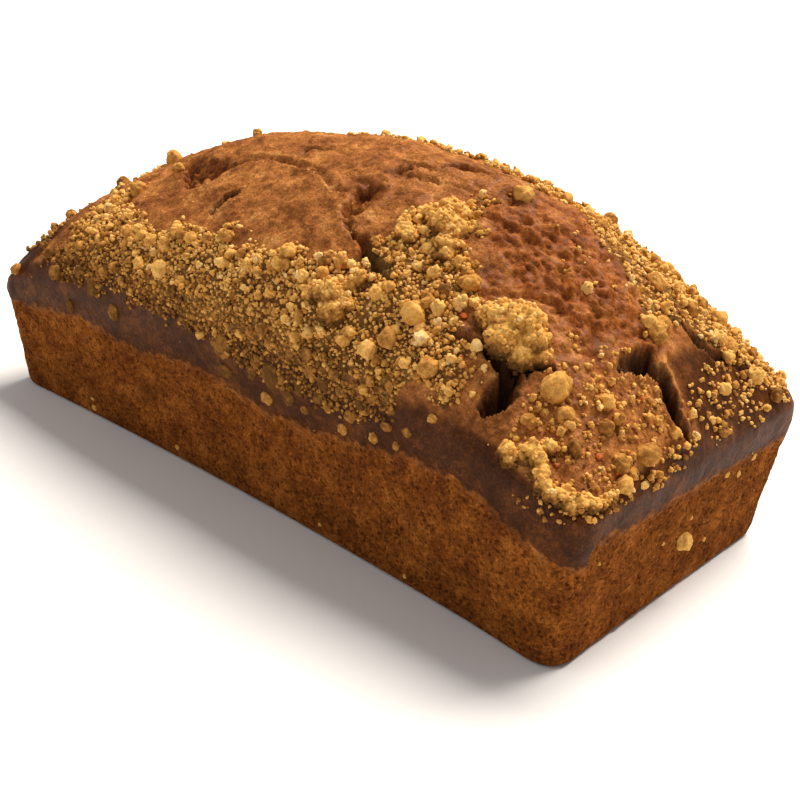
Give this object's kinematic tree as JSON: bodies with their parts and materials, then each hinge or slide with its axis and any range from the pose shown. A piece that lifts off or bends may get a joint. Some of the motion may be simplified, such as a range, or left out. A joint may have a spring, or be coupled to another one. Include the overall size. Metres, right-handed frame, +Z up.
{
  "type": "pumpkin bread",
  "caption": "Whole tin-baked sweet loaf with low flared walls, a tall cracked crown and a scattered streusel crumb topping.",
  "frame": {"origin": "middle of the flat base on which the loaf rests", "axes": "+X along the length towards the torn end of the crown, +Y towards the back, +Z up through the crest"},
  "size_m": [0.2064, 0.1048, 0.0898],
  "materials": {
    "baked_loaf": "matt browned crust and open crumb",
    "streusel": "matt crumbly baked streusel"
  },
  "bodies": {
    "root": {"loaf": "baked_loaf", "clump_torn_end": "streusel", "clump_crest": "streusel", "clump_front": "streusel", "clump_corner": "streusel"}
  },
  "joints": []
}
